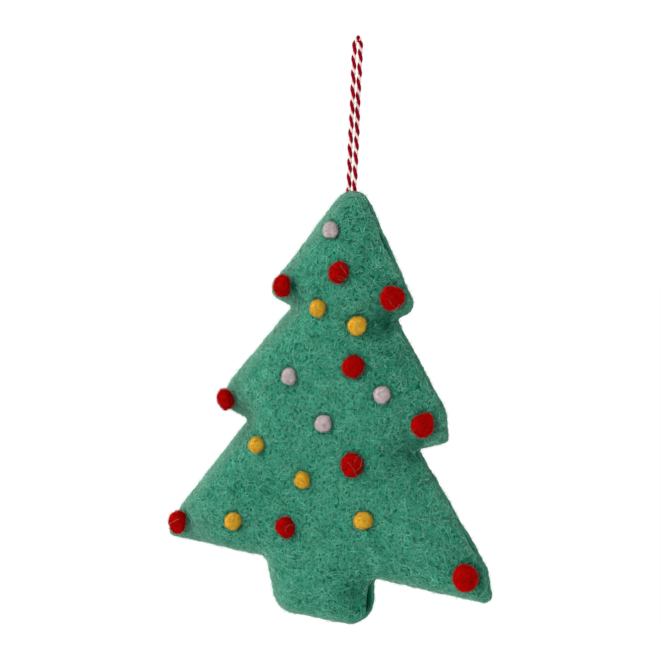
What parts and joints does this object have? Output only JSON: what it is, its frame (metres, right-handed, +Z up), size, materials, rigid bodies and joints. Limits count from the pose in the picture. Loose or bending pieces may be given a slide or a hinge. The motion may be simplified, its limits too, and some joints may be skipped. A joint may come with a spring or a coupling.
{
  "type": "felt christmas tree ornament",
  "caption": "Stuffed felt christmas tree with needled wool balls on its front, hung by a twisted twine loop that is knotted inside the crown.",
  "frame": {"origin": "inside top of the twine loop, where a hook bears", "axes": "+Z up along the hanging tree, -Y out of its front, +X to the viewer's right"},
  "size_m": [0.1047, 0.0177, 0.1716],
  "materials": {
    "green_felt": "hand-felted wool, matte and fuzzy",
    "wool_stuffing": "loose wool fill",
    "seam_thread": "matte sewing thread",
    "red_wool": "needled wool, matte",
    "mustard_wool": "needled wool, matte",
    "pale_wool": "needled wool, matte",
    "twine": "two-ply cotton twine, one red ply and one white"
  },
  "bodies": {
    "bend": {"loop_bend": "twine"},
    "legs": {"loop_leg_left": "twine", "loop_leg_right": "twine"},
    "tree": {"front_panel": "green_felt", "back_panel": "green_felt", "stuffing": "wool_stuffing", "seam_thread": "seam_thread", "loop_knot": "twine", "red_ball_1": "red_wool", "red_ball_2": "red_wool", "red_ball_3": "red_wool", "red_ball_4": "red_wool", "red_ball_5": "red_wool", "red_ball_6": "red_wool", "red_ball_7": "red_wool", "red_ball_8": "red_wool", "red_ball_9": "red_wool", "red_ball_10": "red_wool", "yellow_ball_1": "mustard_wool", "yellow_ball_2": "mustard_wool", "yellow_ball_3": "mustard_wool", "yellow_ball_4": "mustard_wool", "yellow_ball_5": "mustard_wool", "yellow_ball_6": "mustard_wool", "pale_ball_1": "pale_wool", "pale_ball_2": "pale_wool", "pale_ball_3": "pale_wool", "pale_ball_4": "pale_wool"}
  },
  "joints": [
    {"name": "loop_twist", "type": "hinge", "parent": "bend", "child": "legs", "pos_m": [0, 0, -0.0022], "axis": [0, 0, 1], "range_deg": [-180, 180], "stiffness_Nm_per_rad": 0.0001},
    {"name": "tree_nod", "type": "hinge", "parent": "legs", "child": "tree", "pos_m": [0.0016, 0, -0.0431], "axis": [1, 0, 0], "range_deg": [-60, 60]}
  ]
}
